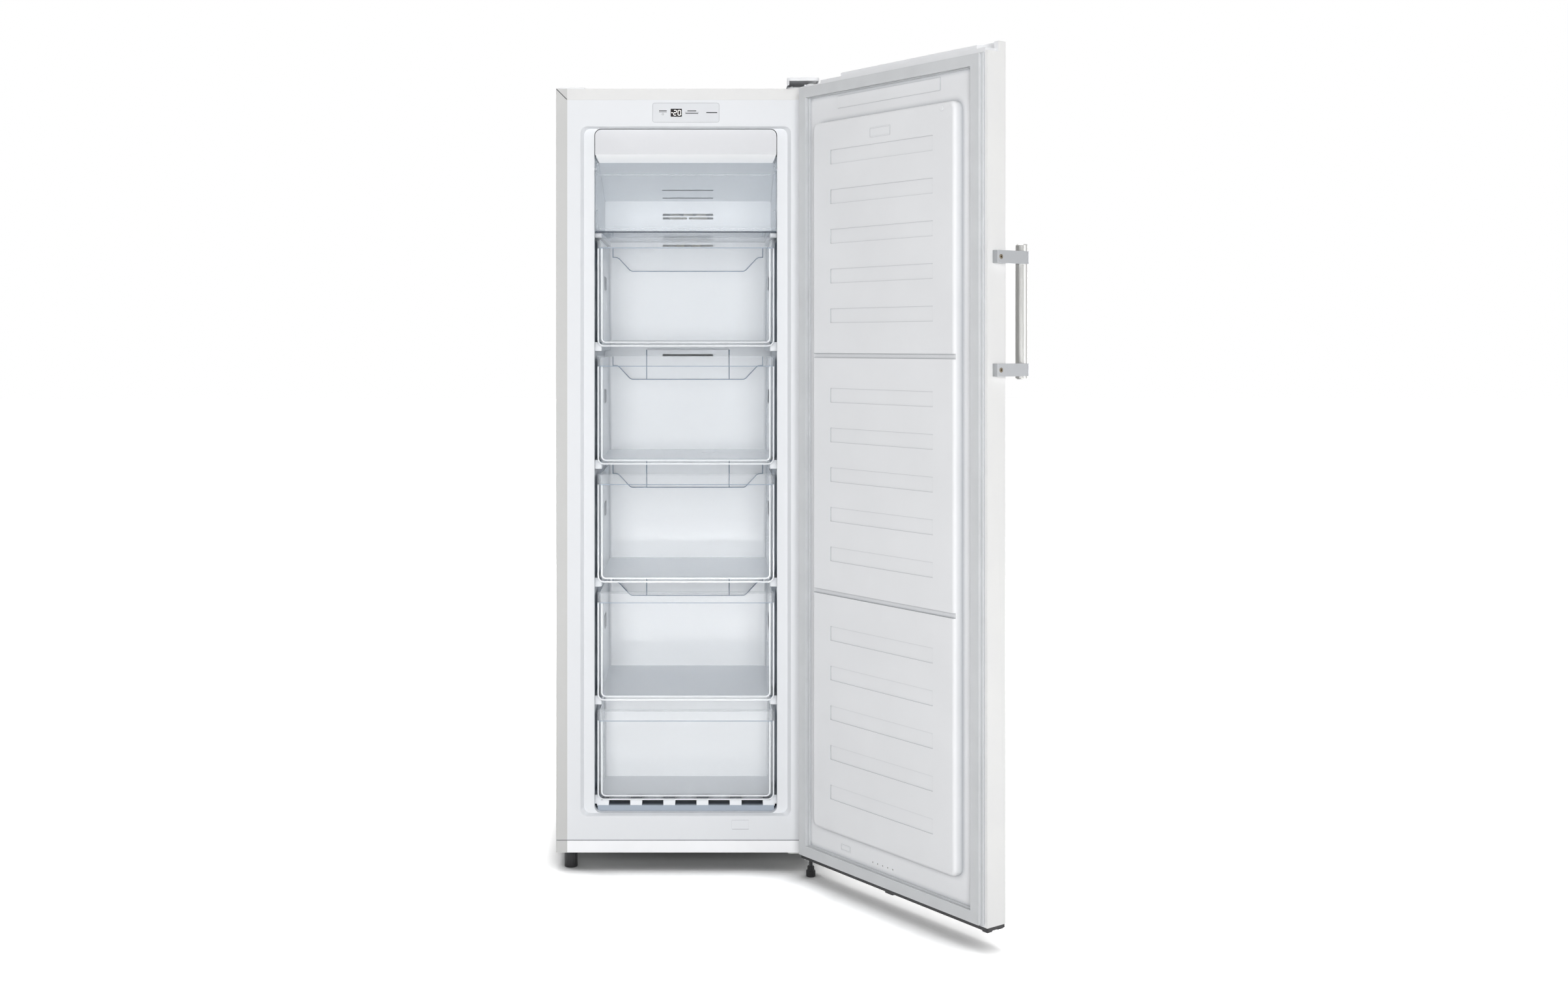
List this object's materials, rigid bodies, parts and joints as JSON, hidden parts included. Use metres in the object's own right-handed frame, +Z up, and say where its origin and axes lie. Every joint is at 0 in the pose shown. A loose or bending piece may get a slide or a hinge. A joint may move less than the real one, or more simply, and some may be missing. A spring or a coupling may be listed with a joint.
{
  "type": "upright freezer",
  "caption": "Tall white no-frost upright freezer with clear drawers, a top flap compartment and a right-hung door with a bar handle, standing open.",
  "frame": {"origin": "on the floor plane that the feet and rollers stand on, under the middle of the cabinet body", "axes": "+Z up; -Y out of the cabinet's front; +X towards the hinge side"},
  "size_m": [0.9292, 1.0012, 1.69],
  "materials": {
    "white_paint": "gloss enamel",
    "galvanised": "zinc coated",
    "liner_white": "smooth moulded",
    "trim_white": "fine grain",
    "pu_foam": "cellular",
    "gasket_grey": "soft satin",
    "clear_plastic": "clear moulded",
    "black_plastic": "fine grain",
    "dark_window": "smoked",
    "circuit_board": "solder mask",
    "handle_steel": "brushed",
    "bright_steel": "plated",
    "hinge_steel": "black passivated",
    "black_paint": "semi-gloss",
    "copper": "drawn tube",
    "coil_aluminium": "mill",
    "black_rubber": "matte",
    "heater_steel": "sheathed"
  },
  "bodies": {
    "cabinet": {"outer_wrapper": "white_paint", "back_panel": "galvanised", "bottom_panel": "galvanised", "toe_strip": "liner_white", "inner_liner": "liner_white", "insulation_foam": "pu_foam", "condenser_coil": "copper", "duct_cover": "liner_white", "header_panel": "liner_white", "top_shelf": "clear_plastic", "evaporator": "coil_aluminium", "defrost_heater": "heater_steel", "fan_motor": "black_plastic", "compressor_tray": "galvanised", "roller_axles": "bright_steel", "compressor": "black_paint", "compressor_grommets": "black_rubber", "compressor_bolts": "bright_steel", "relay_box": "black_plastic", "drip_tray": "black_plastic", "filter_drier": "copper", "refrigerant_pipes": "copper", "drain_hose": "black_rubber", "rear_cover": "galvanised", "cord_gland": "black_plastic", "control_bezel": "trim_white", "display_window": "dark_window", "control_board": "circuit_board", "hinge_top_plate": "hinge_steel", "hinge_bottom_bracket": "hinge_steel", "hinge_pins": "bright_steel", "hinge_screws": "bright_steel", "hinge_top_cover": "trim_white", "hinge_blank_cap": "trim_white"},
    "door": {"door_skin": "white_paint", "door_foam": "pu_foam", "door_liner": "liner_white", "door_gasket": "gasket_grey", "door_cap_top": "trim_white", "door_cap_bottom": "black_plastic", "door_bushes": "trim_white", "handle_bar": "handle_steel", "handle_arms": "handle_steel", "handle_screws": "bright_steel"},
    "top_flap": {"flap": "clear_plastic"},
    "fan": {"fan_blade": "black_plastic"},
    "left_roller": {"roller_left": "black_plastic"},
    "right_roller": {"roller_right": "black_plastic"},
    "left_foot": {"foot_left": "black_plastic"},
    "right_foot": {"foot_right": "black_plastic"},
    "drawer_1": {"drawer_1_front": "clear_plastic", "drawer_1_tub": "clear_plastic"},
    "drawer_2": {"drawer_2_front": "clear_plastic", "drawer_2_tub": "clear_plastic"},
    "drawer_3": {"drawer_3_front": "clear_plastic", "drawer_3_tub": "clear_plastic"},
    "drawer_4": {"drawer_4_front": "clear_plastic", "drawer_4_tub": "clear_plastic"},
    "drawer_5": {"drawer_5_front": "clear_plastic", "drawer_5_tub": "clear_plastic"}
  },
  "joints": [
    {"name": "door_hinge", "type": "hinge", "parent": "cabinet", "child": "door", "pos_m": [0.2655, -0.287, 0.86], "axis": [0, 0, 1], "range_deg": [-125.5, 9.5]},
    {"name": "flap_hinge", "type": "hinge", "parent": "cabinet", "child": "top_flap", "pos_m": [0, -0.2315, 1.502], "axis": [-1, 0, 0], "range_deg": [0, 85]},
    {"name": "fan_spin", "type": "hinge", "parent": "cabinet", "child": "fan", "pos_m": [0, 0.139, 1.402], "axis": [0, 1, 0], "continuous": true},
    {"name": "left_roller_spin", "type": "hinge", "parent": "cabinet", "child": "left_roller", "pos_m": [-0.2375, 0.225, 0.016], "axis": [1, 0, 0], "continuous": true},
    {"name": "right_roller_spin", "type": "hinge", "parent": "cabinet", "child": "right_roller", "pos_m": [0.2375, 0.225, 0.016], "axis": [1, 0, 0], "continuous": true},
    {"name": "drawer_1_slide", "type": "slide", "parent": "cabinet", "child": "drawer_1", "axis": [0, -1, 0], "range_m": [0, 0.28]},
    {"name": "drawer_2_slide", "type": "slide", "parent": "cabinet", "child": "drawer_2", "axis": [0, -1, 0], "range_m": [0, 0.28]},
    {"name": "drawer_3_slide", "type": "slide", "parent": "cabinet", "child": "drawer_3", "axis": [0, -1, 0], "range_m": [0, 0.28]},
    {"name": "drawer_4_slide", "type": "slide", "parent": "cabinet", "child": "drawer_4", "axis": [0, -1, 0], "range_m": [0, 0.28]},
    {"name": "drawer_5_slide", "type": "slide", "parent": "cabinet", "child": "drawer_5", "axis": [0, -1, 0], "range_m": [0, 0.13]},
    {"name": "left_foot_height", "type": "slide", "parent": "cabinet", "child": "left_foot", "axis": [0, 0, 1], "range_m": [-0.012, 0]},
    {"name": "right_foot_height", "type": "slide", "parent": "cabinet", "child": "right_foot", "axis": [0, 0, 1], "range_m": [-0.008, 0.005]}
  ]
}
